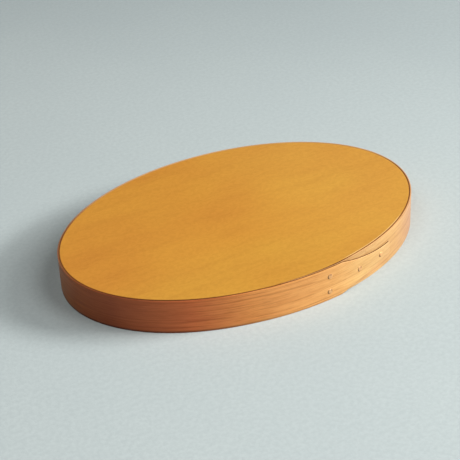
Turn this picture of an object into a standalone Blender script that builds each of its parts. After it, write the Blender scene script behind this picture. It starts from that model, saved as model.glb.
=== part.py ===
# Oval tray of bent wood: one lapped band round a thin board.
# Modelled rim down and board up, with +X along the oval and +Z up, in metres.
# The band's lap is on the -Y side, and its finger points to +X.

import math

import bmesh
import bpy
import numpy as np
from mathutils import Matrix, Vector

# Driving dimensions: the oval is the outside of the band where it is one ply thick
length = 0.270
width = 0.184
height = 0.0258

# Clearance between neighbouring pieces, and how far a cutter runs past what it cuts
gap = 0.0003
overrun = 0.001

# Band: one strip of cherry, its inner end feathered and its outer end cut to a finger
ply = 0.0014
feather_end = 0.0004
feather_length = 0.047
feather_lead = 0.020
inner_end_from_middle = -0.020
finger_tip_from_middle = 0.0792
finger_length = 0.0512
finger_tip_width = 0.0099
finger_tip_thickness = 0.0009
finger_tip_corner = 0.0016
finger_curve = 1.8
facet = 0.0045
corner_steps = 4

# Board: let into the band, flush with its upper edge
board_thickness = 0.005
board_ease = 0.0003

# Tacks: a pair just before the finger, then two along its middle
tack_head_radius = 0.0020
tack_head_rise = 0.0005
tack_shank_radius = 0.0006
tack_point_radius = 0.0002
tack_clinch_length = 0.0026
tack_bend_radius = 0.0009
tack_pair_before_finger = 0.0107
tack_below_board = 0.0018
finger_tack_shares = (0.32, 0.77)
tack_head_shares = ((0.35, 1.0), (0.72, 0.72), (0.96, 0.28), (1.0, 0.0))

# Pegs: driven through the band into the edge of the board
peg_count = 14
peg_radius = 0.0008
peg_point_radius = 0.0005
peg_in_board = 0.0065

oval_samples = 7200
round_sides = 16
bend_steps = 5


# The oval, measured by the run along it from the middle of the -Y side towards +X

def measured_oval():
    angles = np.linspace(-math.pi / 2, 3 * math.pi / 2, oval_samples + 1)
    x = length / 2 * np.cos(angles)
    y = width / 2 * np.sin(angles)
    steps = np.hypot(np.diff(x), np.diff(y))
    return angles, np.concatenate(([0.0], np.cumsum(steps)))


oval_angles, oval_runs = measured_oval()
perimeter = float(oval_runs[-1])

# The lap stands proud on the -Y side, so the oval moves half of that to centre the whole tray
oval_centre = Vector((0, (ply + gap) / 2, 0))

inner_end = inner_end_from_middle
finger_tip = finger_tip_from_middle
finger_root = finger_tip - finger_length


def oval_frame(run):
    """Point on the oval at z = 0, and its outward and forward directions."""
    angle = float(np.interp(run % perimeter, oval_runs, oval_angles))
    point = Vector((length / 2 * math.cos(angle), width / 2 * math.sin(angle), 0))
    outward = Vector((width * math.cos(angle), length * math.sin(angle), 0)).normalized()
    forward = Vector((-outward.y, outward.x, 0))
    return oval_centre + point, outward, forward


def signed_run(run):
    """The same place, as a run between minus and plus half the perimeter."""
    return (run + perimeter / 2) % perimeter - perimeter / 2


def smooth(share):
    share = min(max(share, 0.0), 1.0)
    return share * share * (3 - 2 * share)


# Thickness, lift and width of the strip along its run

def inner_ply_thickness(run):
    """Thickness of the ply that lies inside: feathered at the strip's inner end."""
    share = min((run - inner_end) / feather_length, 1.0)
    return feather_end + (ply - feather_end) * share


def lap_lift(run):
    """How far the ply that comes round again lies outside its usual place."""
    if run < inner_end:
        share = (run - inner_end + feather_lead) / feather_lead
        return (feather_end + gap) * smooth(share)
    return inner_ply_thickness(run) + gap


def outer_ply_thickness(run):
    """Thickness of the outer ply: thinned along the finger."""
    share = max((run - finger_root) / finger_length, 0.0)
    return ply + (finger_tip_thickness - ply) * share


def half_width(run):
    """Half the width of the outer ply: full, then drawn in along the finger, with round corners."""
    tip = finger_tip_width / 2
    share = min(max((run - finger_root) / finger_length, 0.0), 1.0)
    half = tip + (height / 2 - tip) * (1 - share) ** finger_curve
    past_corner = run - (finger_tip - finger_tip_corner)
    if past_corner > 0:
        half -= finger_tip_corner - math.sqrt(max(finger_tip_corner ** 2 - past_corner ** 2, 0.0))
    return half


def outer_face(run, above_middle):
    """Offset from the oval of the outermost wood at a run and a height from the band's middle."""
    run = signed_run(run)
    covered = inner_end - feather_lead < run < finger_tip and above_middle < half_width(run)
    if covered:
        return lap_lift(run) - ply + outer_ply_thickness(run)
    return 0.0


# Scene, collections and materials

def clear_scene():
    for item in list(bpy.data.objects):
        bpy.data.objects.remove(item, do_unlink=True)


def new_collection(name):
    collection = bpy.data.collections.new(name)
    bpy.context.scene.collection.children.link(collection)
    return collection


def principled(name, colour, roughness, metallic=0.0):
    material = bpy.data.materials.new(name)
    material.use_nodes = True
    shader = material.node_tree.nodes["Principled BSDF"]
    shader.inputs["Base Color"].default_value = (*colour, 1.0)
    shader.inputs["Roughness"].default_value = roughness
    shader.inputs["Metallic"].default_value = metallic
    return material


def mesh_object(name, mesh, collection, material=None):
    item = bpy.data.objects.new(name, mesh)
    collection.objects.link(item)
    if material:
        mesh.materials.append(material)
    return item


def mesh_from_curve(curve_object, name, collection, material):
    """A closed mesh from a curve whose loose caps are welded on."""
    depsgraph = bpy.context.evaluated_depsgraph_get()
    mesh = bpy.data.meshes.new_from_object(curve_object.evaluated_get(depsgraph))
    mesh.name = name
    welded = bmesh.new()
    welded.from_mesh(mesh)
    bmesh.ops.remove_doubles(welded, verts=welded.verts, dist=gap / 100)
    bmesh.ops.recalc_face_normals(welded, faces=welded.faces)
    welded.to_mesh(mesh)
    welded.free()
    mesh.materials.clear()
    placement = curve_object.matrix_world.copy()
    bpy.data.objects.remove(curve_object, do_unlink=True)
    item = mesh_object(name, mesh, collection, material)
    item.matrix_world = placement
    return item


def cone_mesh(name, radius_start, radius_end, depth, sides):
    """A round taper from the origin along +Z."""
    mesh = bpy.data.meshes.new(name)
    shape = bmesh.new()
    bmesh.ops.create_cone(shape, cap_ends=True, segments=sides, radius1=radius_start,
                          radius2=radius_end, depth=depth, matrix=Matrix.Translation((0, 0, depth / 2)))
    shape.to_mesh(mesh)
    shape.free()
    mesh.shade_smooth()
    mesh.set_sharp_from_angle(angle=math.radians(40))
    return mesh


def placement_through_band(run, level, offset):
    """World placement whose +Z runs into the band, from an offset outside the oval."""
    point, outward, forward = oval_frame(run)
    origin = point + outward * offset + Vector((0, 0, level))
    inward = -outward
    upward = inward.cross(forward)
    columns = (forward, upward, inward)
    rotation = Matrix([[column[row] for column in columns] for row in range(3)])
    return Matrix.Translation(origin) @ rotation.to_4x4()


# Band

def band_stations():
    """Runs at which the strip is laid out, from its inner end to the finger's tip."""
    strip_end = perimeter + finger_tip - finger_tip_corner
    count = math.ceil((strip_end - inner_end) / facet)
    straight = np.linspace(inner_end, strip_end, count + 1)
    turns = np.linspace(0, math.pi / 2, corner_steps + 1)[1:]
    return [float(run) for run in straight] + [strip_end + finger_tip_corner * math.sin(turn) for turn in turns]


def make_band(collection, cutters):
    """The strip as an open sheet on its inner face, then given its thickness outwards."""
    mesh = bpy.data.meshes.new("band")
    sheet = bmesh.new()
    weights = []
    edges = []
    for run in band_stations():
        second_turn = run > perimeter + inner_end - feather_lead
        if second_turn:
            local = run - perimeter
            lift = lap_lift(local)
            thickness = outer_ply_thickness(local)
            half = half_width(local)
        else:
            lift = 0.0
            thickness = inner_ply_thickness(run)
            half = height / 2
        point, outward, _ = oval_frame(run)
        foot = point + outward * (lift - ply)
        pair = [sheet.verts.new(foot + Vector((0, 0, height / 2 + side * half))) for side in (-1, 1)]
        edges.append(pair)
        weights.extend([thickness / ply] * 2)
    for (low, high), (next_low, next_high) in zip(edges, edges[1:]):
        sheet.faces.new((low, next_low, next_high, high))
    sheet.to_mesh(mesh)
    sheet.free()
    band = mesh_object("band", mesh, collection, principled("cherry_band", (0.50, 0.19, 0.065), 0.42))
    group = band.vertex_groups.new(name="thickness")
    for index, weight in enumerate(weights):
        group.add([index], weight, "REPLACE")
    shell = band.modifiers.new("ply", "SOLIDIFY")
    shell.thickness = ply
    shell.offset = 1.0
    shell.vertex_group = group.name
    cut = band.modifiers.new("holes", "BOOLEAN")
    cut.operation = "DIFFERENCE"
    cut.operand_type = "COLLECTION"
    cut.collection = cutters
    cut.solver = "EXACT"
    return band


# Board

def make_board(collection, cutters):
    """An oval slab that follows the band's inner face at a clearance."""
    curve = bpy.data.curves.new("bottom_board", "CURVE")
    curve.dimensions = "2D"
    curve.fill_mode = "BOTH"
    curve.extrude = board_thickness / 2
    count = math.ceil(perimeter / facet)
    spline = curve.splines.new("POLY")
    spline.points.add(count - 1)
    spline.use_cyclic_u = True
    for step in range(count):
        point, outward, _ = oval_frame(perimeter * step / count)
        edge = point - outward * (ply + gap)
        spline.points[step].co = (edge.x, edge.y, 0, 1)
    outline = bpy.data.objects.new("board_outline", curve)
    collection.objects.link(outline)
    outline.location.z = height - board_thickness / 2
    bpy.context.view_layer.update()
    board = mesh_from_curve(outline, "bottom_board", collection, principled("maple_board", (0.72, 0.36, 0.07), 0.38))
    ease = board.modifiers.new("eased_edges", "BEVEL")
    ease.width = board_ease
    ease.segments = 1
    ease.limit_method = "ANGLE"
    ease.angle_limit = math.radians(40)
    cut = board.modifiers.new("holes", "BOOLEAN")
    cut.operation = "DIFFERENCE"
    cut.operand_type = "COLLECTION"
    cut.collection = cutters
    cut.solver = "EXACT"
    return board


# Tacks

def tack_places():
    """Name, run and level of each tack."""
    middle = height / 2
    upper = height - board_thickness - tack_below_board
    pair_run = finger_root - tack_pair_before_finger
    places = [("tack_upper", pair_run, upper), ("tack_lower", pair_run, height - upper)]
    names = ("tack_finger_middle", "tack_finger_tip")
    for name, share in zip(names, finger_tack_shares):
        places.append((name, finger_root + finger_length * share, middle))
    return places


def tack_path(through):
    """Centre line and radii of a tack: domed head, shank, and a point turned over inside the band.

    The line starts at the crown of the head and runs along +Z into the wood, whose outer face is
    at z = 0 and whose inner face is at z = through.
    """
    head_foot = -gap
    path = [(Vector((0, 0, head_foot - tack_head_rise * rise_share)), tack_head_radius * radius_share)
            for rise_share, radius_share in reversed(tack_head_shares)]
    path.append((Vector((0, 0, head_foot)), tack_head_radius))
    path.append((Vector((0, 0, head_foot)), tack_shank_radius))
    leg_level = through + gap + tack_shank_radius
    bend_start = leg_level - tack_bend_radius
    for step in range(bend_steps + 1):
        turn = math.pi / 2 * step / bend_steps
        place = Vector((tack_bend_radius * (1 - math.cos(turn)), 0, bend_start + tack_bend_radius * math.sin(turn)))
        path.append((place, tack_shank_radius))
    path.append((Vector((tack_clinch_length, 0, leg_level)), tack_point_radius))
    return path


def make_tack(name, run, level, collection, material):
    above_middle = abs(level - height / 2)
    outer = outer_face(run, above_middle)
    curve = bpy.data.curves.new(name, "CURVE")
    curve.dimensions = "3D"
    curve.bevel_depth = 1.0
    curve.bevel_resolution = 2
    curve.use_fill_caps = True
    path = tack_path(outer + ply)
    spline = curve.splines.new("POLY")
    spline.points.add(len(path) - 1)
    for point, (place, radius) in zip(spline.points, path):
        point.co = (*place, 1)
        point.radius = radius
    line = bpy.data.objects.new(name + "_line", curve)
    collection.objects.link(line)
    line.matrix_world = placement_through_band(run, level, outer)
    bpy.context.view_layer.update()
    return mesh_from_curve(line, name, collection, material)


# Pegs

def peg_places():
    """Run and level of each peg, evenly spaced, level with the middle of the board's edge."""
    level = height - board_thickness / 2
    return [(perimeter * index / peg_count, level) for index in range(peg_count)]


def make_peg(name, run, level, collection, material):
    outer = outer_face(run, level - height / 2)
    depth = outer + ply + gap + peg_in_board
    item = mesh_object(name, cone_mesh(name, peg_radius, peg_point_radius, depth, round_sides), collection, material)
    item.matrix_world = placement_through_band(run, level, outer)
    return item


# Cutters for the tack and peg holes

def make_cutter(name, run, level, radius, depth, collection):
    start = outer_face(run, level - height / 2) + overrun
    mesh = cone_mesh(name, radius, radius, start + depth, round_sides)
    cutter = mesh_object(name, mesh, collection)
    cutter.matrix_world = placement_through_band(run, level, start)
    cutter.hide_render = True
    cutter.display_type = "WIRE"


def make_cutters(collection):
    for name, run, level in tack_places():
        make_cutter(name + "_hole", run, level, tack_shank_radius + gap, ply + overrun, collection)
    for index, (run, level) in enumerate(peg_places()):
        depth = ply + gap + peg_in_board + gap
        make_cutter(f"peg_{index + 1:02d}_hole", run, level, peg_radius + gap, depth, collection)


def build():
    clear_scene()
    tray = new_collection("oval_tray")
    cutters = new_collection("hole_cutters")
    make_cutters(cutters)
    bpy.context.view_layer.update()
    make_band(tray, cutters)
    make_board(tray, cutters)
    copper = principled("copper_tack", (0.60, 0.27, 0.13), 0.36, 1.0)
    for name, run, level in tack_places():
        make_tack(name, run, level, tray, copper)
    wood = principled("peg_wood", (0.45, 0.19, 0.07), 0.5)
    for index, (run, level) in enumerate(peg_places()):
        make_peg(f"peg_{index + 1:02d}", run, level, tray, wood)


build()
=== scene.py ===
import math

import bmesh
import bpy
import numpy as np
from mathutils import Matrix, Vector


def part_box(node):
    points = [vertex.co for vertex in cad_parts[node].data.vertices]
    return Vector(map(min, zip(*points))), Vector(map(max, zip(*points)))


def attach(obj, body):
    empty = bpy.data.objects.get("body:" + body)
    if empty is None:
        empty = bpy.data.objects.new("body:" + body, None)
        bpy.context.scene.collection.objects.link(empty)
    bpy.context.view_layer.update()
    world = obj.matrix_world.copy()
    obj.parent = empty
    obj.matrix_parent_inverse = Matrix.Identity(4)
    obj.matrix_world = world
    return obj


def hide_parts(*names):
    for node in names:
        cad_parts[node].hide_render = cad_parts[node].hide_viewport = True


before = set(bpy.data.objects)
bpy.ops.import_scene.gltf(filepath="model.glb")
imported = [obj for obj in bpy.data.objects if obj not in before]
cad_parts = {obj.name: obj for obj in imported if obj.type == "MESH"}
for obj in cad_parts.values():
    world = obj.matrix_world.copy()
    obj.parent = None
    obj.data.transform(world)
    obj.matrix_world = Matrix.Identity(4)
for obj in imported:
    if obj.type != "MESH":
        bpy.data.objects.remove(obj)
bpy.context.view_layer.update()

# All sizes are in metres. These come from the parts' boxes in model.glb
band_low, band_high = (Vector(corner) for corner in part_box("band"))
board_low, board_high = (Vector(corner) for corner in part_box("bottom_board"))
height = band_high.z
board_thickness = board_high.z - board_low.z
length = band_high.x - band_low.x

# The band's strip, measured by its run from the oval's middle on the -Y side towards +X.
# Its plies lie closer together at the lap, lap_gap, than the solids' do, solid_gap
ply = 0.0014
lap_gap = 0.00004
solid_gap = 0.0003
width = 2 * band_high.y - ply - solid_gap
feather_end = 0.0004
feather_length = 0.047
feather_lead = 0.020
inner_end = -0.020
finger_tip = 0.0792
finger_length = 0.0512
finger_tip_width = 0.0099
finger_tip_thickness = 0.0009
finger_tip_corner = 0.0016
finger_curve = 1.8
edge_round = 0.00032

# Rounding of the strip's edges and ends, at most these shares of its thickness or half its width
most_edge_round = 0.48
most_drawn = 0.4
inner_end_round = 0.45

# The finger's edge is singed from this far past its root, and fully after this length
singe_start = 0.010
singe_length = 0.030

# Dark joint on the strip's top, partly painted shade in the groove at the inner top corner, and a
# stain there that starts and ends at these shares of a turn
joint_on_top = 0.45
stain_strength = 0.6
stain_start = 0.78
stain_start_length = 0.05
stain_end = 0.06
stain_end_length = 0.02

# How steeply the edge's look sets in round the strip's outer and inner corners, and where
outer_edge_slope, outer_edge_offset = 4, 3.2
inner_edge_slope, inner_edge_offset = 1.5, 0.2

# The board's edge
board_gap = 0.00004
board_round = 0.00035
board_flat = 0.0005
joint_reach = 0.0005

# Tacks: their heads' profile is in shares of the head's radius and rise
tack_radius = 0.0020
tack_rise = 0.00035
tack_shank = 0.0006
tack_leg = 0.0026
tack_bend = 0.0009
tack_below_board = 0.0018
tack_pair_before_finger = 0.0107
finger_tack_shares = (0.32, 0.77)
tack_profile = ((0.30, -0.96), (0.55, -0.90), (0.74, -0.78), (0.88, -0.56), (0.97, -0.24),
                (1.0, 0.05))
head_wave = 0.035
head_ripple = 0.02
shank_start_rise = 0.1

# A tack's clinched leg: its rise and radius are in shares of the shank's radius
leg_rise = 0.72
leg_taper = 0.05
leg_near_point = (0.75, 0.05, 0.55)
leg_point = (1.0, -0.1, 0.12)

# Painted shade on a tack's head, on one side and at one more spot: it sets in at a share of the
# head's radius, and keeps to its side the more, the higher the power
head_shade_angle = 2.9
head_shade_power = 1.5
head_shade_start = 0.62
spot_power = 3
spot_start = 0.40
head_shade_fade = 0.3

# Angle of that spot on each tack's head, in radians
upper_spot = -1.2
lower_spot = -0.6
middle_spot = -0.9
tip_spot = 2.4

# Pegs: their heads' profile has shares of the radius, and depths
peg_count = 14
peg_radius = 0.0008
peg_in_board = 0.0065
peg_head = ((0.86, -0.00002), (0.97, 0.00001), (1.0, 0.00008))
peg_point_share = 0.62

# How finely the shapes are cut, and the angle in degrees from which an edge stays sharp
oval_samples = 7200
station_step = 0.002
corner_steps = 6
round_steps = 4
inner_round_steps = 3
face_rows = 9
board_sides = 360
board_rings = (0.0, 0.25, 0.5, 0.75, 0.93)
tack_sides = 40
bend_steps = 6
peg_sides = 24
sharp_angle = 50

# Camera, fitted to the outline: angles in degrees, distances as shares of the oval's length,
# and the sensor's width in millimetres
camera_azimuth = -28.11
camera_elevation = 32.44
camera_roll = -2.77
camera_distance_share = 3.810
camera_target_shares = (0.0142, 0.0793)
focal_pixels = 1400
picture_pixels = 460
sensor_width = 36.0

# Windows: name, azimuth in degrees, width, heights of the lower and upper end, power in watts
window_distance = 3.0
windows = (
    ("main_window", -27, 1.35, 1.05, 1.59, 158),
    ("high_window", -22, 1.2, 1.65, 2.40, 45))

# Fill lights: name, azimuth and elevation in degrees, power in watts
fill_distance = 1.5
fill_size = 0.9
fills = (
    ("front_fill", -50, 55, 10.2),
    ("back_fill", -150, 60, 7.7))

world_tone = (0.92, 0.97, 1.0, 1.0)
world_strength = 0.025
floor_size = 6.0

# Tones along the strip, at shares of its length: golden at the lap, redder towards the left end.
# They also hold painted light, paler on the lit side at the lap, and painted shade, darkest near
# the shaded left end
strip_tones_and_painted_light = (
    (0.00, (0.58, 0.33, 0.13)), (0.11, (0.56, 0.32, 0.12)), (0.15, (0.45, 0.24, 0.12)),
    (0.25, (0.57, 0.26, 0.07)), (0.60, (0.56, 0.23, 0.06)), (0.69, (0.32, 0.084, 0.018)),
    (0.73, (0.29, 0.064, 0.017)), (0.80, (0.65, 0.163, 0.045)), (0.85, (0.76, 0.297, 0.076)),
    (0.92, (0.75, 0.38, 0.12)), (0.96, (0.64, 0.38, 0.14)), (1.00, (0.57, 0.34, 0.14)))
inside_tone = (0.52, 0.23, 0.065)

# Tones of the strip's top and bottom edge, at the same shares, with a painted sheen that makes
# them paler and less saturated on the far side
rim_tones_and_sheen = (
    (0.03, (0.28, 0.11, 0.022)), (0.05, (0.64, 0.335, 0.115)), (0.12, (0.64, 0.34, 0.12)),
    (0.20, (0.51, 0.27, 0.115)), (0.34, (0.54, 0.32, 0.14)), (0.51, (0.52, 0.30, 0.14)),
    (0.60, (0.33, 0.16, 0.07)), (0.70, (0.25, 0.075, 0.02)), (0.79, (0.25, 0.075, 0.014)),
    (0.85, (0.41, 0.15, 0.025)), (0.92, (0.62, 0.325, 0.05)), (0.95, (0.33, 0.17, 0.03)),
    (1.00, (0.26, 0.135, 0.034)))


# The oval

oval_centre = Vector(((band_low.x + band_high.x) / 2, band_high.y - width / 2, 0))


def measured_oval():
    angles = np.linspace(-math.pi / 2, 3 * math.pi / 2, oval_samples + 1)
    x = length / 2 * np.cos(angles)
    y = width / 2 * np.sin(angles)
    steps = np.hypot(np.diff(x), np.diff(y))
    return angles, np.concatenate(([0.0], np.cumsum(steps)))


oval_angles, oval_runs = measured_oval()
perimeter = float(oval_runs[-1])
finger_root = finger_tip - finger_length


def oval_frame(run):
    """Point on the oval at z = 0, and its outward and forward directions."""
    angle = float(np.interp(run % perimeter, oval_runs, oval_angles))
    point = Vector((length / 2 * math.cos(angle), width / 2 * math.sin(angle), 0))
    outward = Vector((width * math.cos(angle), length * math.sin(angle), 0)).normalized()
    return oval_centre + point, outward, Vector((-outward.y, outward.x, 0))


def smooth(share):
    share = min(max(share, 0.0), 1.0)
    return share * share * (3 - 2 * share)


# Thickness, lift and width of the strip along its run

def inner_ply_thickness(run):
    share = min(max((run - inner_end) / feather_length, 0.0), 1.0)
    return feather_end + (ply - feather_end) * share


def lap_lift(run):
    """How far the outer ply's inner face is lifted off the band's inner face."""
    if run < inner_end:
        return (feather_end + lap_gap) * smooth((run - inner_end + feather_lead) / feather_lead)
    return inner_ply_thickness(run) + lap_gap


def outer_ply_thickness(run):
    share = min(max((run - finger_root) / finger_length, 0.0), 1.0)
    return ply + (finger_tip_thickness - ply) * share


def half_width(run):
    """Half the outer ply's width, which narrows along the finger to its rounded corners."""
    tip = finger_tip_width / 2
    share = min(max((run - finger_root) / finger_length, 0.0), 1.0)
    half = tip + (height / 2 - tip) * (1 - share) ** finger_curve
    past_corner = run - (finger_tip - finger_tip_corner)
    if past_corner > 0:
        half -= finger_tip_corner - math.sqrt(max(finger_tip_corner ** 2 - past_corner ** 2, 0.0))
    return half


def outer_face(run, above_middle):
    """How far the band's outer face stands off the oval."""
    run = (run + perimeter / 2) % perimeter - perimeter / 2
    if inner_end - feather_lead < run < finger_tip and above_middle < half_width(run):
        return lap_lift(run) - ply + outer_ply_thickness(run)
    return 0.0


def placement(origin, axes):
    """World placement with its X, Y and Z along the given axes."""
    rotation = Matrix([[axis[row] for axis in axes] for row in range(3)])
    return Matrix.Translation(origin) @ rotation.to_4x4()


def placement_through_band(run, level, offset):
    """World placement whose +Z runs into the band, from an offset outside the oval."""
    point, outward, forward = oval_frame(run)
    inward = -outward
    origin = point + outward * offset + Vector((0, 0, level))
    return placement(origin, (forward, inward.cross(forward), inward))


# Materials

class Material:
    """A Principled material and short ways to add the nodes that feed it.

    Sockets that keep one value are given by name, with underscores for the spaces.
    """

    def __init__(self, name, **sockets):
        self.material = bpy.data.materials.new(name)
        self.material.use_nodes = True
        self.tree = self.material.node_tree
        self.shader = self.tree.nodes["Principled BSDF"]
        for socket, value in sockets.items():
            self.shader.inputs[socket.replace("_", " ")].default_value = value

    def add(self, kind, **settings):
        node = self.tree.nodes.new(kind)
        for key, value in settings.items():
            setattr(node, key, value)
        return node

    def feed(self, source, socket):
        if isinstance(source, (int, float, tuple)):
            socket.default_value = source
        else:
            self.tree.links.new(source, socket)

    def coordinates(self, attribute=None):
        if attribute:
            return self.add("ShaderNodeAttribute", attribute_name=attribute).outputs["Vector"]
        return self.add("ShaderNodeTexCoord").outputs["Object"]

    def number(self, attribute):
        return self.add("ShaderNodeAttribute", attribute_name=attribute).outputs["Fac"]

    def noise(self, vector, per_metre, shift=(0, 0, 0), detail=3.0, rough=0.55, distortion=0.0):
        """Noise whose blotches repeat about so many times per metre along each axis."""
        place = self.add("ShaderNodeMapping")
        place.inputs["Scale"].default_value = per_metre
        place.inputs["Location"].default_value = shift
        self.feed(vector, place.inputs["Vector"])
        node = self.add("ShaderNodeTexNoise")
        node.inputs["Scale"].default_value = 1.0
        node.inputs["Detail"].default_value = detail
        node.inputs["Roughness"].default_value = rough
        node.inputs["Distortion"].default_value = distortion
        self.feed(place.outputs["Vector"], node.inputs["Vector"])
        return node.outputs["Fac"]

    def math(self, operation, first, second=0.0, third=0.0):
        node = self.add("ShaderNodeMath", operation=operation)
        for source, socket in zip((first, second, third), node.inputs):
            self.feed(source, socket)
        return node.outputs["Value"]

    def product(self, first, *others):
        """All the values, multiplied."""
        for other in others:
            first = self.math("MULTIPLY", first, other)
        return first

    def rest(self, share):
        """What the share leaves of 1."""
        return self.math("SUBTRACT", 1.0, share)

    def spread(self, value, low, high, to_low=0.0, to_high=1.0):
        """The value's range from low to high, mapped to another range and held there."""
        node = self.add("ShaderNodeMapRange", interpolation_type="SMOOTHSTEP")
        self.feed(value, node.inputs["Value"])
        limits = {"From Min": low, "From Max": high, "To Min": to_low, "To Max": to_high}
        for socket, number in limits.items():
            node.inputs[socket].default_value = number
        return node.outputs["Result"]

    def parts(self, vector):
        node = self.add("ShaderNodeSeparateXYZ")
        self.feed(vector, node.inputs["Vector"])
        return tuple(node.outputs)

    def joined(self, x, y, z):
        node = self.add("ShaderNodeCombineXYZ")
        for source, socket in zip((x, y, z), node.inputs):
            self.feed(source, socket)
        return node.outputs["Vector"]

    def ramp(self, value, stops):
        """Colours at shares of the value's range, blended between them."""
        node = self.add("ShaderNodeValToRGB")
        self.feed(value, node.inputs["Fac"])
        elements = node.color_ramp.elements
        while len(elements) < len(stops):
            elements.new(1.0)
        for element, (share, colour) in zip(elements, stops):
            element.position = share
            element.color = (*colour, 1.0)
        return node.outputs["Color"]

    def mix(self, share, first, second, blend="MIX"):
        node = self.add("ShaderNodeMix", data_type="RGBA", blend_type=blend)
        sockets = [socket for socket in node.inputs if socket.enabled]
        for source, socket in zip((share, first, second), sockets):
            is_colour = isinstance(source, tuple) and len(source) == 3
            self.feed((*source, 1.0) if is_colour else source, socket)
        return [socket for socket in node.outputs if socket.enabled][0]

    def tint(self, share, colour, factor):
        """The colour, multiplied by a factor as far as the share says."""
        return self.mix(share, colour, factor, "MULTIPLY")

    def bump(self, surface, distance, strength):
        node = self.add("ShaderNodeBump")
        node.inputs["Strength"].default_value = strength
        node.inputs["Distance"].default_value = distance
        self.feed(surface, node.inputs["Height"])
        return node.outputs["Normal"]

    def finish(self, colour, roughness, normal):
        self.feed(colour, self.shader.inputs["Base Color"])
        self.feed(roughness, self.shader.inputs["Roughness"])
        self.feed(normal, self.shader.inputs["Normal"])
        return self.material


# A fade holds where it starts and ends, and then its values there if they aren't 0 and 1.
# A tint holds factors of red, green and blue

# Fades of the cherry's noises, with the tints that they bring in
broad_fade, broad_tint = (0.35, 0.65), (1.06, 1.08, 1.09)
cloud_fade, cloud_tint = (0.35, 0.70, 0.0, 0.7), (1.08, 1.13, 1.15)
stripe_fade, stripe_tint = (0.42, 0.64, 0.0, 0.4), (0.84, 0.74, 0.68)
line_fade, line_tint = (0.54, 0.60, 0.0, 0.75), (0.72, 0.62, 0.54)
fleck_fade, fleck_tint = (0.40, 0.66, 0.0, 0.8), (0.86, 0.79, 0.72)
pore_fade, pore_tint = (0.60, 0.74), (0.62, 0.55, 0.50)
broken_fade = (0.36, 0.60, 0.25, 1.0)
cherry_fibre_tint = (0.84, 0.80, 0.76)
rim_cloud_tint = (0.86, 0.80, 0.76)
fibre_strength = 0.5
pore_strength = 0.5

# Fades along the strip, in shares of its length
calm_towards_end = (0.90, 0.96, 1.0, 0.6)
calm_at_left = (0.72, 0.80, 0.65, 1.0)
tight_start = (0.19, 0.27, 0.0, 0.8)
tight_end = (0.62, 0.54)
shaded_start = (0.55, 0.62)
shaded_end = (0.93, 0.80)
covered_end = (0.097, 0.078)

# Fades through the strip and across it, and the tints of its marks, of the painted shade at the
# joint and at the foot, and of the painted light below the finger
inside_fade = (0.0007, 0.0002)
foot_top = 0.0022
foot_dark = 0.0008
foot_fade = (foot_top - height / 2, foot_dark - height / 2)
below_finger_fade = (-0.003, -0.005)
cherry_joint_shade_tint = (0.30, 0.16, 0.05)
foot_shade_tint = (0.45, 0.45, 0.48)
below_finger_light_tint = (1.18, 1.21, 1.28)
singe_tint = (0.72, 0.62, 0.50)

# How far the grain drifts across the strip, and the cherry's sheen and relief
grain_drift = 0.006
cherry_specular = 0.25
cherry_roughness = (0.7, 1.3, 0.36, 0.48)
cherry_edge_roughness = 0.45
cherry_relief_shares = (0.5, 0.5)
cherry_relief = (0.00004, 0.5)


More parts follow.
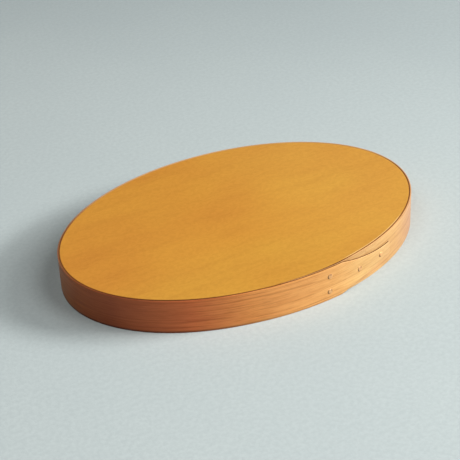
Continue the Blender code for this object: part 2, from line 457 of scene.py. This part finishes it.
def cherry_material(name):
    """Oiled cherry whose grain runs along the straightened strip."""
    wood = Material(name, Specular_IOR_Level=cherry_specular)
    place = wood.coordinates("strip")
    run, depth, level = wood.parts(place)
    share = wood.math("DIVIDE", run, perimeter + finger_tip)
    drift = wood.noise(place, (7, 20, 35), detail=2.0)
    wavy = wood.joined(run, depth, wood.math("MULTIPLY_ADD", drift, grain_drift, level))
    cloud = wood.noise(place, (16, 40, 60), (0, 0, 2.0), detail=2.0)
    broad = wood.noise(wavy, (4, 90, 130), (0.4, 0, 4.1), detail=2.0)
    stripe = wood.noise(wavy, (8, 200, 330), (3.1, 0, 5.5), rough=0.6)
    line = wood.noise(wavy, (11, 200, 760), (5.3, 0, 0.2), rough=0.6)
    fleck = wood.noise(wavy, (70, 400, 900), (0, 0, 7.0), rough=0.65)
    fibre = wood.noise(place, (60, 1500, 2600), detail=2.0)
    pore = wood.noise(place, (110, 2400, 3800), detail=1.0)
    broken = wood.noise(place, (170, 0, 0), detail=2.0)

    # Tone along the strip with its painted light and shade, then its grain from broad streaks to
    # pores
    tone = wood.mix(wood.spread(depth, *inside_fade), wood.ramp(share, strip_tones_and_painted_light), inside_tone)
    tone = wood.tint(wood.spread(broad, *broad_fade), tone, broad_tint)
    tone = wood.tint(wood.spread(cloud, *cloud_fade), tone, cloud_tint)
    calm = wood.product(wood.spread(share, *calm_towards_end), wood.spread(share, *calm_at_left))
    tone = wood.tint(wood.product(wood.spread(stripe, *stripe_fade), calm), tone, stripe_tint)
    tone = wood.tint(wood.product(wood.spread(line, *line_fade), calm), tone, line_tint)
    tone = wood.tint(wood.spread(fleck, *fleck_fade), tone, fleck_tint)
    tone = wood.tint(wood.product(fibre, fibre_strength), tone, cherry_fibre_tint)
    pores = wood.spread(pore, *pore_fade)
    tone = wood.tint(wood.product(pores, pore_strength), tone, pore_tint)

    # Top and bottom edge, and the dark joint between the board and the band, partly painted shade
    # in the groove
    edge = wood.number("edge")
    clouded = wood.spread(cloud, *cloud_fade)
    # The edge tones carry a painted sheen on the far side
    rim = wood.tint(clouded, wood.ramp(share, rim_tones_and_sheen), rim_cloud_tint)
    tone = wood.mix(edge, tone, rim)
    tight = wood.product(wood.spread(share, *tight_start), wood.spread(share, *tight_end))
    joint = wood.product(wood.number("joint"), wood.rest(tight))
    tone = wood.tint(joint, tone, cherry_joint_shade_tint)

    # Painted shade at the foot on the shaded side, painted light below the finger that lifts the
    # shade there, singed along its edge
    shaded = wood.product(wood.spread(share, *shaded_start), wood.spread(share, *shaded_end))
    foot = wood.product(wood.spread(level, *foot_fade), shaded)
    tone = wood.tint(foot, tone, foot_shade_tint)
    covered = wood.spread(share, *covered_end)
    below_finger = wood.product(covered, wood.spread(level, *below_finger_fade))
    tone = wood.tint(below_finger, tone, below_finger_light_tint)
    singed = wood.product(wood.number("singe"), wood.spread(broken, *broken_fade))
    tone = wood.tint(singed, tone, singe_tint)

    roughness = wood.spread(wood.math("ADD", fibre, cloud), *cherry_roughness)
    roughness = wood.math("MULTIPLY_ADD", edge, cherry_edge_roughness, roughness)
    fibre_share, stripe_share = cherry_relief_shares
    relief = wood.math(
        "ADD", wood.product(fibre, fibre_share), wood.product(stripe, stripe_share))
    return wood.finish(tone, roughness, wood.bump(relief, *cherry_relief))


# Fades of the maple's noises, with the tints that they bring in
maple_tones = ((0.518, 0.214, 0.0295), (0.550, 0.248, 0.0325))
maple_broad_fade = (0.30, 0.70)
figure_fade, figure_tint = (0.36, 0.66, 0.0, 0.6), (0.88, 0.86, 0.84)
ring_fade, ring_tint = (0.45, 0.70, 0.0, 0.35), (0.86, 0.80, 0.80)
maple_fibre_strength, maple_fibre_tint = 0.3, (0.86, 0.84, 0.80)

# Fades along and across the board, and the tints of its sides and its edge: paler towards the lit
# right with painted light, and a painted sheen on the edge
right_fade, right_light_tint = (-0.03, 0.10), (1.06, 1.21, 1.40)
near_across = (-0.02, -0.06)
near_along = (0.06, 0.0)
near_tint = (1.03, 1.16, 1.12)
board_edge_sheen_tint = (1.02, 1.04, 1.15)

# The stretch of the board's edge with a pale painted glint
glint_start = (0.028, 0.040)
glint_end = (0.100, 0.088)
glint_across = (0.0, -0.03)
glint_tone = (0.95, 0.68, 0.30)

# The dark joint with the band, partly painted shade in the groove, fainter on the far side and
# along one stretch
far_joint_fade = (-0.02, 0.04, 1.0, 0.2)
faint_start = (-0.09, -0.05)
faint_end = (0.05, 0.03)
faint_across = (0.0, -0.03, 0.0, 0.7)
maple_joint_shade_tint = (0.31, 0.17, 0.06)

# How far the figure wanders across the board, and the maple's sheen and relief
figure_wander = 0.012
maple_specular = 0.2
maple_roughness = (0.3, 0.7, 0.55, 0.65)
maple_edge_roughness = 0.35
maple_relief_shares = (0.6, 0.4)
maple_relief = (0.00004, 0.4)


def maple_material():
    """Maple under a honey-coloured varnish: faint curly figure, fine fibres lengthwise."""
    wood = Material("maple_board", Specular_IOR_Level=maple_specular)
    place = wood.coordinates()
    along, across, level = wood.parts(place)
    bend = wood.noise(place, (30, 45, 45), detail=2.0)
    shifted = wood.add("ShaderNodeVectorMath", operation="MULTIPLY_ADD")
    wood.feed(bend, shifted.inputs[0])
    shifted.inputs[1].default_value = (0.0, figure_wander, 0.0)
    wood.feed(place, shifted.inputs[2])
    flowing = shifted.outputs["Vector"]
    broad = wood.noise(flowing, (9, 16, 16), (0.3, 5.2, 0), detail=2.0)
    figure = wood.noise(flowing, (290, 390, 390), rough=0.65, distortion=0.6)
    ring = wood.noise(flowing, (18, 170, 60), (2.0, 0.7, 0))
    fibre = wood.noise(flowing, (160, 2200, 2200), detail=2.0)
    edge = wood.number("edge")

    # Tone over the board, then its figure, rings and fibres
    tone = wood.mix(wood.spread(broad, *maple_broad_fade), *maple_tones)
    # Paler towards the lit right: painted light
    tone = wood.tint(wood.spread(along, *right_fade), tone, right_light_tint)
    near = wood.product(wood.spread(across, *near_across), wood.spread(along, *near_along))
    tone = wood.tint(near, tone, near_tint)
    tone = wood.tint(wood.spread(figure, *figure_fade), tone, figure_tint)
    tone = wood.tint(wood.spread(ring, *ring_fade), tone, ring_tint)
    tone = wood.tint(wood.product(fibre, maple_fibre_strength), tone, maple_fibre_tint)

    # The edge, with a painted sheen and a pale painted glint along one stretch, and its joint
    # with the band, darkened with painted shade
    tone = wood.tint(edge, tone, board_edge_sheen_tint)
    edge_glint = wood.product(
        wood.spread(along, *glint_start), wood.spread(along, *glint_end),
        wood.spread(across, *glint_across), wood.spread(level, board_low.z, board_high.z),
        edge, wood.rest(wood.number("joint")))
    tone = wood.mix(edge_glint, tone, glint_tone)
    faint = wood.product(
        wood.spread(along, *faint_start), wood.spread(along, *faint_end),
        wood.spread(across, *faint_across))
    joint = wood.product(
        wood.number("joint"), wood.spread(across, *far_joint_fade), wood.rest(faint))
    tone = wood.tint(joint, tone, maple_joint_shade_tint)

    roughness = wood.spread(figure, *maple_roughness)
    roughness = wood.math("MULTIPLY_ADD", edge, maple_edge_roughness, roughness)
    fibre_share, figure_share = maple_relief_shares
    relief = wood.math(
        "ADD", wood.product(fibre, fibre_share), wood.product(figure, figure_share))
    return wood.finish(tone, roughness, wood.bump(relief, *maple_relief))


copper_tones = ((0.78, 0.450, 0.190), (0.66, 0.360, 0.150))
# Painted shade on the heads' rims
head_shade_tint = (0.34, 0.27, 0.24)
copper_patch_fade = (0.35, 0.7)
copper_metallic = 0.6
copper_roughness = (0.3, 0.7, 0.55, 0.70)
copper_relief = (0.00005, 0.5)


def copper_material():
    """Dulled copper, darker with painted shade near the heads' rims."""
    metal = Material("copper_tack", Metallic=copper_metallic)
    place = metal.coordinates()
    patches = metal.noise(place, (700, 700, 700))
    marks = metal.noise(place, (2600, 2600, 2600), detail=2.0)
    tone = metal.mix(metal.spread(patches, *copper_patch_fade), *copper_tones)
    tone = metal.tint(metal.number("rim"), tone, head_shade_tint)
    roughness = metal.spread(patches, *copper_roughness)
    return metal.finish(tone, roughness, metal.bump(marks, *copper_relief))


floor_tones = ((0.434, 0.486, 0.481), (0.446, 0.498, 0.490))
floor_grain_tone = (0.380, 0.426, 0.426)
floor_mottle_fade = (0.3, 0.7)
floor_grain_fade = (0.3, 0.7, 0.0, 0.65)
floor_far_fade, floor_far_shade_tint = (0.24, 0.64), (0.87, 0.88, 0.89)
floor_specular = 0.1
floor_roughness = 0.9
floor_relief = (0.0002, 0.3)


def floor_material():
    """Matt paper with a fine grain, with painted shade that darkens it towards its far right."""
    paper = Material("floor_paper", Specular_IOR_Level=floor_specular)
    place = paper.coordinates()
    along, across, _ = paper.parts(place)
    mottle = paper.noise(place, (9, 9, 9), detail=4.0)
    grain = paper.noise(place, (330, 330, 330), rough=0.7)
    tooth = paper.noise(place, (900, 900, 900))
    tone = paper.mix(paper.spread(mottle, *floor_mottle_fade), *floor_tones)
    tone = paper.mix(paper.spread(grain, *floor_grain_fade), tone, floor_grain_tone)
    # Painted shade towards the far right
    far = paper.spread(paper.math("ADD", along, across), *floor_far_fade)
    tone = paper.tint(far, tone, floor_far_shade_tint)
    return paper.finish(tone, floor_roughness, paper.bump(tooth, *floor_relief))


# Mesh helpers

def new_object(name, data):
    item = bpy.data.objects.new(name, data)
    bpy.context.scene.collection.objects.link(item)
    return item


def shaded_object(name, mesh):
    mesh.shade_smooth()
    mesh.set_sharp_from_angle(angle=math.radians(sharp_angle))
    return new_object(name, mesh)


def mesh_from(name, points, faces):
    mesh = bpy.data.meshes.new(name)
    mesh.from_pydata(points, [], faces)
    mesh.update()
    return shaded_object(name, mesh)


def store_numbers(item, name, values):
    item.data.attributes.new(name, "FLOAT", "POINT").data.foreach_set("value", values)


def store_vectors(item, name, vectors):
    flat = np.array(vectors, dtype=np.float32).ravel()
    item.data.attributes.new(name, "FLOAT_VECTOR", "POINT").data.foreach_set("vector", flat)


def circle_turns(sides):
    return [2 * math.pi * side / sides for side in range(sides)]


def quarter_turns(steps):
    return [math.pi / 2 * step / steps for step in range(steps + 1)]


def lofted(sections):
    """Faces between rings of equal count, with the first and last ring capped."""
    count = len(sections[0])
    points = [point for section in sections for point in section]
    faces = []
    for row in range(len(sections) - 1):
        for column in range(count):
            after = (column + 1) % count
            faces.append((row * count + column, row * count + after,
                          (row + 1) * count + after, (row + 1) * count + column))
    last = (len(sections) - 1) * count
    faces.append(tuple(reversed(range(count))))
    faces.append(tuple(range(last, last + count)))
    return points, faces


# Band

def strip_section(thickness, half, corner):
    """Rounded rectangle, from its outer top corner round its inner side.

    Each point has a depth, a level, and how far it lies on the edge, at the joint with the
    board, and on the top where the strip can be stained.
    """
    corner = min(corner, thickness * most_edge_round, half * most_edge_round)
    points = []
    for centre_depth, centre_level, start in (
            (thickness - corner, half - corner, 0), (corner, half - corner, 1),
            (corner, -half + corner, 2), (thickness - corner, -half + corner, 3)):
        outer = centre_depth > thickness / 2
        for step in range(round_steps + 1):
            turn = math.pi / 2 * (start + step / round_steps)
            depth = centre_depth + corner * math.cos(turn)
            level = centre_level + corner * math.sin(turn)
            rise = abs(math.sin(turn))
            outer_edge = smooth(rise * outer_edge_slope - outer_edge_offset)
            inner_edge = smooth(rise * inner_edge_slope - inner_edge_offset)
            edge = outer_edge if outer else inner_edge
            joint = 1.0 if start == 1 else 0.0
            points.append((depth, level, edge, joint, outer_edge if start == 0 else 0.0))
        if start == 0:
            points.append((thickness / 2, half, 1.0, joint_on_top, 1.0))
        elif start == 2:
            points.append((thickness / 2, -half, 1.0, 0.0, 0.0))
        else:
            side = -1 if start == 1 else 1
            for row in range(1, face_rows):
                level = side * (-half + corner + (half - corner) * 2 * row / face_rows)
                points.append((0.0 if start == 1 else thickness, level, 0.0, 0.0, 0.0))
    return points


def band_stations():
    """Run of each station, with how far the strip's end rounding draws it in."""
    strip_end = perimeter + finger_tip - finger_tip_corner
    inner_round = feather_end * inner_end_round
    lead = [(inner_end + inner_round * (1 - math.cos(turn)), inner_round * (1 - math.sin(turn)))
            for turn in np.linspace(0, math.pi / 2, inner_round_steps + 1)]
    count = math.ceil((strip_end - inner_end) / station_step)
    middle = [(float(run), 0.0)
              for run in np.linspace(inner_end + inner_round, strip_end, count + 1)[1:]]
    tail = []
    for turn in np.linspace(0, math.pi / 2, corner_steps + 1)[1:]:
        run = strip_end + finger_tip_corner * math.sin(turn)
        past = run - (strip_end + finger_tip_corner - edge_round)
        drawn = 0.0
        if past > 0:
            drawn = edge_round - math.sqrt(max(edge_round ** 2 - past ** 2, 0.0))
        tail.append((run, drawn))
    return lead + middle + tail


def make_band():
    """One strip, from its feathered inner end once round the oval to the finger's tip."""
    sections = []
    strip_places = []
    edges = []
    singes = []
    joints = []
    for run, drawn in band_stations():
        if run > perimeter + inner_end - feather_lead:
            local = run - perimeter
            foot = lap_lift(local) - ply
            thickness = outer_ply_thickness(local)
            half = half_width(local)
        else:
            foot = -ply
            thickness = inner_ply_thickness(run)
            half = height / 2
        drawn = min(drawn, thickness * most_drawn)
        singed = smooth((run - perimeter - finger_root - singe_start) / singe_length)
        turns_round = run / perimeter
        stained = (smooth((turns_round - stain_start) / stain_start_length)
                   + smooth((stain_end - turns_round) / stain_end_length))
        point, outward, _ = oval_frame(run)
        section = []
        for depth, level, edge, joint, stain in strip_section(
                thickness - 2 * drawn, half - drawn, edge_round):
            across = outward * (foot + drawn + depth)
            section.append(point + across + Vector((0, 0, height / 2 + level)))
            strip_places.append((run, depth, level))
            edges.append(edge)
            singes.append(edge * singed)
            joints.append(min(joint + stain_strength * stain * stained, 1.0))
        sections.append(section)
    points, faces = lofted(sections)
    band = mesh_from("band_wood", points, faces)
    store_numbers(band, "singe", singes)
    store_numbers(band, "joint", joints)
    store_vectors(band, "strip", strip_places)
    store_numbers(band, "edge", edges)
    band.data.materials.append(cherry_material("cherry_band"))
    return band


# Board

def board_levels():
    """Rings of the board: share of the way out, how far they are drawn in, and their level."""
    top = board_high.z
    bottom = board_low.z
    flat = board_round + board_flat
    levels = [(share, 0.0, top) for share in board_rings]
    levels.append((1.0, flat, top))
    for turn in quarter_turns(round_steps):
        drawn = board_round * (1 - math.sin(turn))
        levels.append((1.0, drawn, top - board_round * (1 - math.cos(turn))))
    for turn in quarter_turns(round_steps):
        drawn = board_round * (1 - math.cos(turn))
        levels.append((1.0, drawn, bottom + board_round * (1 - math.sin(turn))))
    levels.append((1.0, flat, bottom))
    levels.extend((share, 0.0, bottom) for share in reversed(board_rings))
    return levels


def make_board():
    """Oval slab with eased edges, from the middle of one face to the middle of the other."""
    stations = [oval_frame(perimeter * step / board_sides) for step in range(board_sides)]
    inset = ply + board_gap
    bm = bmesh.new()
    rings = []
    edges = []
    joints = []
    for share, drawn, level in board_levels():
        if share == 0.0:
            rings.append([bm.verts.new((oval_centre.x, oval_centre.y, level))])
            edges.append(0.0)
            joints.append(0.0)
            continue
        ring = []
        for point, outward, _ in stations:
            rim = point - outward * (inset + drawn)
            place = oval_centre + (rim - oval_centre) * share
            ring.append(bm.verts.new((place.x, place.y, level)))
            edges.append(1.0 if share == 1.0 and drawn <= board_round else 0.0)
            joints.append(smooth(1.0 - drawn / joint_reach) if share == 1.0 else 0.0)
        rings.append(ring)
    for first, second in zip(rings, rings[1:]):
        for column in range(board_sides):
            after = (column + 1) % board_sides
            if len(first) == 1:
                bm.faces.new((first[0], second[column], second[after]))
            elif len(second) == 1:
                bm.faces.new((first[column], second[0], first[after]))
            else:
                bm.faces.new((first[column], second[column], second[after], first[after]))
    mesh = bpy.data.meshes.new("board_wood")
    bm.to_mesh(mesh)
    bm.free()
    board = shaded_object("board_wood", mesh)
    store_numbers(board, "edge", edges)
    store_numbers(board, "joint", joints)
    board.data.materials.append(maple_material())
    return board


# Tacks

def painted_head_shade(share, turn, spot):
    """How much painted shade the head has near its rim: most on the left, and at one more spot.
    """
    left = max(math.cos(turn - head_shade_angle), 0.0) ** head_shade_power
    other = max(math.cos(turn - spot), 0.0) ** spot_power
    return min(smooth((share - head_shade_start) / head_shade_fade) * left
               + smooth((share - spot_start) / head_shade_fade) * other, 1.0)


def tack_head(spot):
    """Rings of a slightly uneven head from its middle to its rim, and each point's painted shade.
    """
    sections = []
    rims = []
    for share, rise in tack_profile:
        ring = []
        for turn in circle_turns(tack_sides):
            wobble = (1 + head_wave * math.sin(2 * turn + spot)
                      + head_ripple * math.sin(5 * turn + 2 * spot))
            reach = tack_radius * share * wobble
            place = (reach * math.cos(turn), reach * math.sin(turn), rise * tack_rise)
            ring.append(Vector(place))
            rims.append(painted_head_shade(share, turn, spot))
        sections.append(ring)
    return sections, rims


def tack_path(through):
    """Middle and radius of a shank that goes through the plies and is bent over behind them."""
    path = [(Vector((0, 0, tack_rise * shank_start_rise)), tack_shank)]
    leg_level = through + tack_shank * leg_rise
    for step, turn in enumerate(quarter_turns(bend_steps)):
        along = tack_bend * (1 - math.cos(turn))
        depth = leg_level - tack_bend + tack_bend * math.sin(turn)
        path.append((Vector((along, 0, depth)), tack_shank * (1 - leg_taper * step)))
    for start_level, (share, rise, radius) in ((leg_level, leg_near_point), (through, leg_point)):
        place = Vector((tack_leg * share, 0, start_level + tack_shank * rise))
        path.append((place, tack_shank * radius))
    return path


def make_tack(node, run, level, spot, material):
    """Head outside the band, shank through both plies, and a leg turned over on the inside."""
    outer = outer_face(run, abs(level - height / 2))
    sections, rims = tack_head(spot)
    path = tack_path(outer + ply)
    across = Vector((0, 1, 0))
    for index, (place, radius) in enumerate(path):
        before = path[max(index - 1, 0)][0]
        after = path[min(index + 1, len(path) - 1)][0]
        sideways = across.cross((after - before).normalized())
        sections.append([
            place + (sideways * math.cos(turn) + across * math.sin(turn)) * radius
            for turn in circle_turns(tack_sides)])
    points, faces = lofted(sections)
    tack = mesh_from(node + "_copper", points, faces)
    store_numbers(tack, "rim", rims + [0.0] * (len(points) - len(rims)))
    tack.data.transform(placement_through_band(run, level, outer))
    tack.data.materials.append(material)
    return tack


def tack_places():
    """Node, run, level and dark spot of each tack."""
    upper = height - board_thickness - tack_below_board
    pair_run = finger_root - tack_pair_before_finger
    middle_run, tip_run = (finger_root + finger_length * share for share in finger_tack_shares)
    return (("tack_upper", pair_run, upper, upper_spot),
            ("tack_lower", pair_run, height - upper, lower_spot),
            ("tack_finger_middle", middle_run, height / 2, middle_spot),
            ("tack_finger_tip", tip_run, height / 2, tip_spot))


# Pegs

def make_peg(node, run, level, material):
    """Tapered peg through the band into the board's edge."""
    outer = outer_face(run, level - height / 2)
    point_depth = outer + ply + peg_in_board
    sections = []
    for share, depth in (*peg_head, (peg_point_share, point_depth)):
        reach = peg_radius * share
        sections.append([Vector((reach * math.cos(turn), reach * math.sin(turn), depth))
                         for turn in circle_turns(peg_sides)])
    points, faces = lofted(sections)
    peg = mesh_from(node + "_wood", points, faces)
    along = run + perimeter if outer > 0 else run
    store_vectors(peg, "strip", [(along + point.z, ply + point.x, point.y) for point in points])
    for name in ("edge", "joint", "singe"):
        store_numbers(peg, name, [0.0] * len(points))
    peg.data.transform(placement_through_band(run, level, outer))
    peg.data.materials.append(material)
    return peg


# Stage, lights and camera

def make_floor():
    bpy.ops.mesh.primitive_plane_add(size=floor_size, location=(0, 0, 0))
    floor = bpy.context.object
    floor.name = "floor"
    floor.data.materials.append(floor_material())


def direction(azimuth, elevation):
    return Vector((math.cos(azimuth) * math.cos(elevation),
                   math.sin(azimuth) * math.cos(elevation), math.sin(elevation)))


def place_light(light, towards, place):
    item = new_object(light.name, light)
    item.location = place
    item.rotation_euler = towards.to_track_quat("Z", "Y").to_euler()


def make_window(name, azimuth, across, low, high, power):
    """Upright panel of light at the given azimuth, between two heights over the floor."""
    light = bpy.data.lights.new(name, "AREA")
    light.shape = "RECTANGLE"
    light.size = across
    light.size_y = high - low
    light.energy = power
    towards = direction(math.radians(azimuth), 0)
    place_light(light, towards, towards * window_distance + Vector((0, 0, (low + high) / 2)))


def make_fill(name, azimuth, elevation, power):
    """Soft disk of light that faces the tray."""
    light = bpy.data.lights.new(name, "AREA")
    light.shape = "DISK"
    light.size = fill_size
    light.energy = power
    towards = direction(math.radians(azimuth), math.radians(elevation))
    place_light(light, towards, towards * fill_distance)


def make_world():
    world = bpy.data.worlds.new("studio")
    bpy.context.scene.world = world
    world.use_nodes = True
    background = world.node_tree.nodes["Background"]
    background.inputs["Color"].default_value = world_tone
    background.inputs["Strength"].default_value = world_strength


def make_camera():
    azimuth = math.radians(camera_azimuth)
    elevation = math.radians(camera_elevation)
    roll = math.radians(camera_roll)
    back = Vector((math.sin(azimuth) * math.cos(elevation),
                   -math.cos(azimuth) * math.cos(elevation), math.sin(elevation)))
    level_right = Vector((math.cos(azimuth), math.sin(azimuth), 0))
    level_up = back.cross(level_right)
    right = level_right * math.cos(roll) + level_up * math.sin(roll)
    up = level_up * math.cos(roll) - level_right * math.sin(roll)
    target = oval_centre + Vector((*camera_target_shares, 0)) * length
    camera = bpy.data.cameras.new("camera")
    camera.sensor_width = sensor_width
    camera.lens = focal_pixels / picture_pixels * sensor_width
    item = new_object("camera", camera)
    place = target + back * camera_distance_share * length
    item.matrix_world = placement(place, (right, up, back))
    bpy.context.scene.camera = item


# Assembly

def dress(piece, node):
    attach(piece, "root")
    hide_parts(node)


bpy.context.scene.view_settings.view_transform = "Standard"
make_floor()
for window in windows:
    make_window(*window)
for fill in fills:
    make_fill(*fill)
make_world()
make_camera()

dress(make_band(), "band")
dress(make_board(), "bottom_board")
copper = copper_material()
for node, run, level, spot in tack_places():
    dress(make_tack(node, run, level, spot, copper), node)
peg_wood = cherry_material("peg_wood")
peg_level = height - board_thickness / 2
for index in range(peg_count):
    node = f"peg_{index + 1:02d}"
    dress(make_peg(node, perimeter * index / peg_count, peg_level, peg_wood), node)
